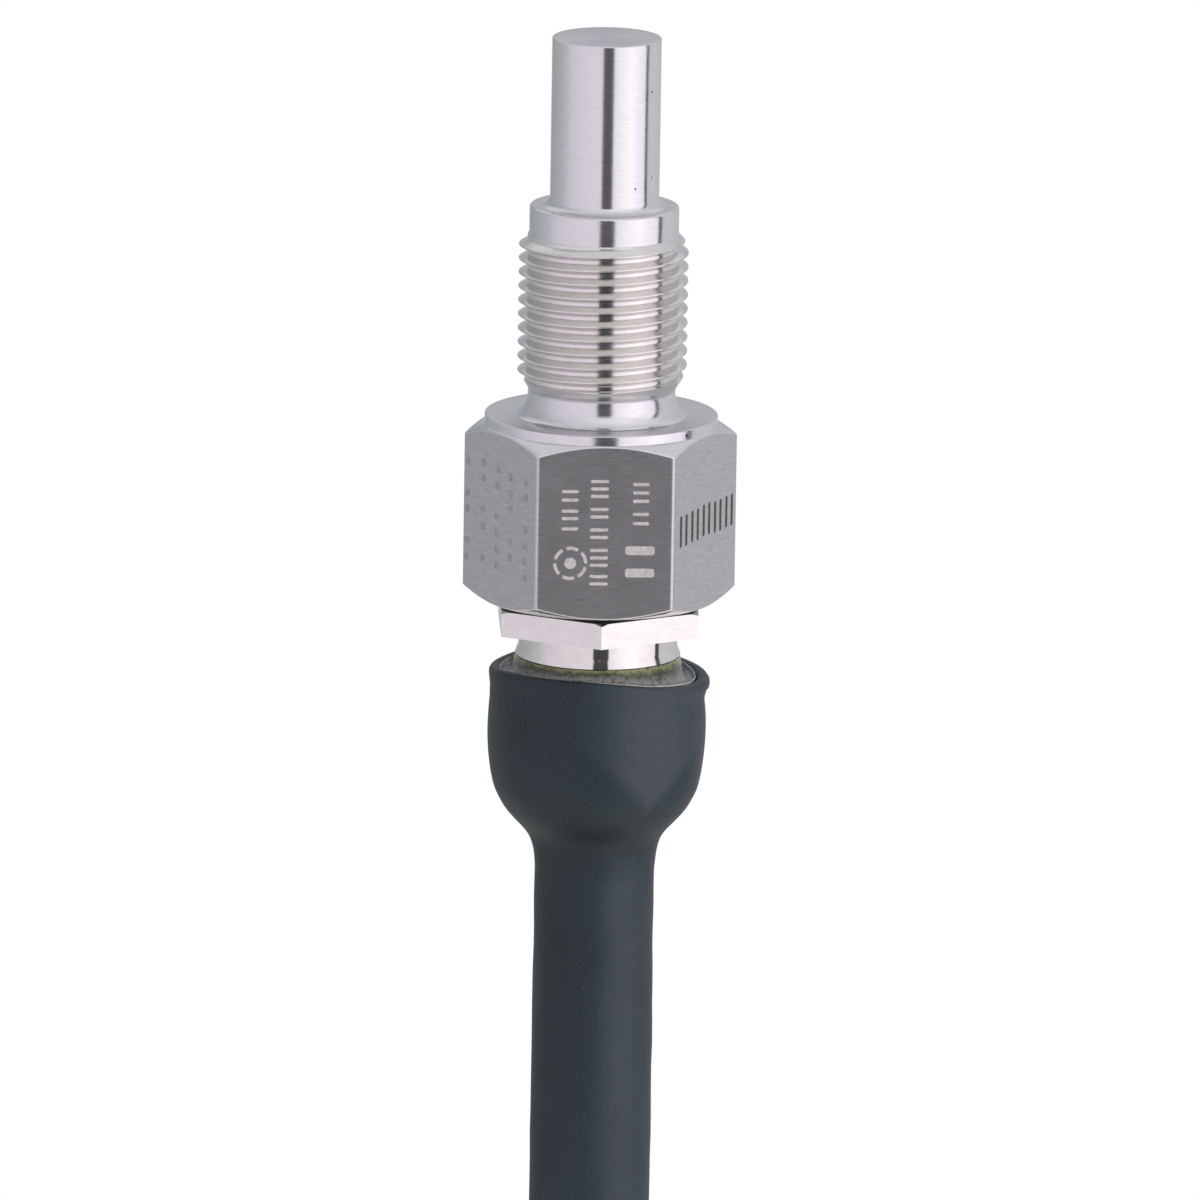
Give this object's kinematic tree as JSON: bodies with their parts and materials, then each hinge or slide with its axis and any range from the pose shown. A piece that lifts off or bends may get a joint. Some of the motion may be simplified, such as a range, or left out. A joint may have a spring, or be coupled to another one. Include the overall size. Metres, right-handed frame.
{
  "type": "screw-in thermal flow sensor with cable",
  "caption": "Screw-in thermal flow sensor: closed steel probe with a metric process thread and wrench hexagon, cable gland, heat-shrink sleeve and a cable with bare ends.",
  "frame": {"origin": "on the probe's axis, in the annular seating face on top of the hexagon, at the mouth of the port it screws into", "axes": "+Z along the probe's axis towards its closed tip; -Y out of one flat of the 25 mm hexagon, the one that faces the viewer in the picture; the cable leaves along -Z"},
  "size_m": [0.0666, 0.0302, 0.347],
  "materials": {
    "stainless_steel": "turned and brushed, bright",
    "nickel_plate": "nickel plated, bright",
    "black_seal_rubber": "matte",
    "cage_plastic": "matte, natural",
    "hot_melt_adhesive": "translucent, glossy",
    "heat_shrink_black": "matte, faintly ribbed",
    "cable_jacket": "satin black",
    "strap_black": "woven hook-and-loop strap",
    "core_brown": "satin",
    "core_white": "satin",
    "core_blue": "satin",
    "core_black": "satin",
    "tinned_metal": "tinned, satin",
    "potting_epoxy": "glossy",
    "carrier_plastic": "matte",
    "circuit_board": "solder resist",
    "ceramic_white": "fired",
    "resistor_black": "glazed",
    "thermal_paste": "paste"
  },
  "bodies": {
    "root": {"board_carrier": "carrier_plastic", "body_gasket": "black_seal_rubber", "cable_entry": "cable_jacket", "cable_hank": "cable_jacket", "cable_lead": "cable_jacket", "cable_tail": "cable_jacket", "core_black": "core_black", "core_blue": "core_blue", "core_brown": "core_brown", "core_white": "core_white", "element_carrier": "carrier_plastic", "end_core_1": "core_brown", "end_core_2": "core_white", "end_core_3": "core_blue", "end_core_4": "core_black", "end_ferrule_1": "tinned_metal", "end_ferrule_2": "tinned_metal", "end_ferrule_3": "tinned_metal", "end_ferrule_4": "tinned_metal", "flow_thermistor": "ceramic_white", "flow_thermistor_lead_a": "tinned_metal", "flow_thermistor_lead_b": "tinned_metal", "gland_body": "nickel_plate", "gland_cage": "cage_plastic", "gland_nut": "nickel_plate", "gland_seal": "black_seal_rubber", "hank_tie": "strap_black", "heat_shrink_sleeve": "heat_shrink_black", "heater_element": "ceramic_white", "heater_element_lead_a": "tinned_metal", "heater_element_lead_b": "tinned_metal", "hot_melt_ring": "hot_melt_adhesive", "limiting_resistor_1": "resistor_black", "limiting_resistor_2": "resistor_black", "limiting_resistor_3": "resistor_black", "potting_plug": "potting_epoxy", "reference_thermistor": "ceramic_white", "reference_thermistor_lead_a": "tinned_metal", "reference_thermistor_lead_b": "tinned_metal", "sensor_board": "circuit_board", "sensor_body": "stainless_steel", "thermal_paste": "thermal_paste"}
  },
  "joints": []
}
